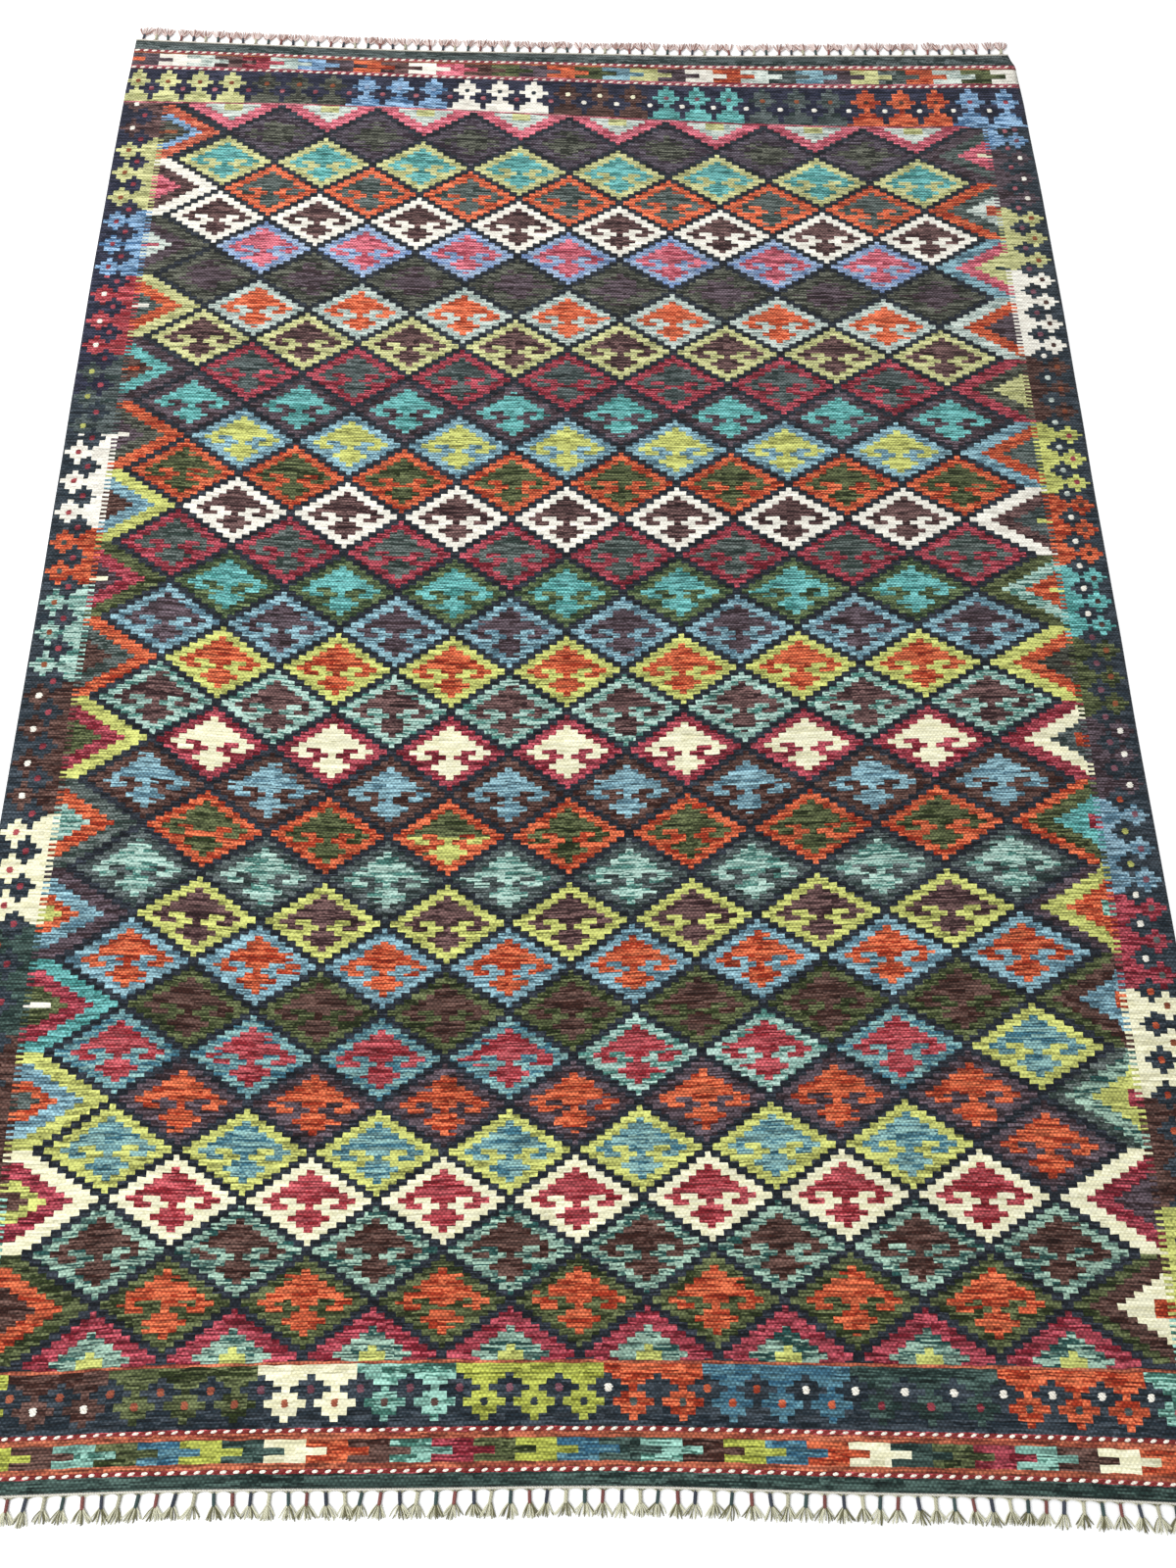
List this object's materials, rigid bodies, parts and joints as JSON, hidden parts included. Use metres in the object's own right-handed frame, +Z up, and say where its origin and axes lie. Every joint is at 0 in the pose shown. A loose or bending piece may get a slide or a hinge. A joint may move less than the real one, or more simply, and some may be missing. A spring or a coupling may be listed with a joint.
{
  "type": "kilim rug",
  "caption": "Flat-woven wool floor rug with a stepped diamond lattice, flower borders and a knotted warp fringe at each end.",
  "frame": {"origin": "centre of the rug, on the surface that it lies on", "axes": "+X across the rug along its wefts, +Y along its warps towards the far end, +Z up out of the face that shows"},
  "size_m": [2.017, 2.9807, 0.0044],
  "materials": {
    "kilim_wool": "matt weft-faced handwoven wool in many colours",
    "warp_cotton": "matt undyed twisted yarn with short coloured wrappings"
  },
  "bodies": {
    "root": {"cloth": "kilim_wool", "fringe_front": "warp_cotton", "fringe_back": "warp_cotton"}
  },
  "joints": []
}
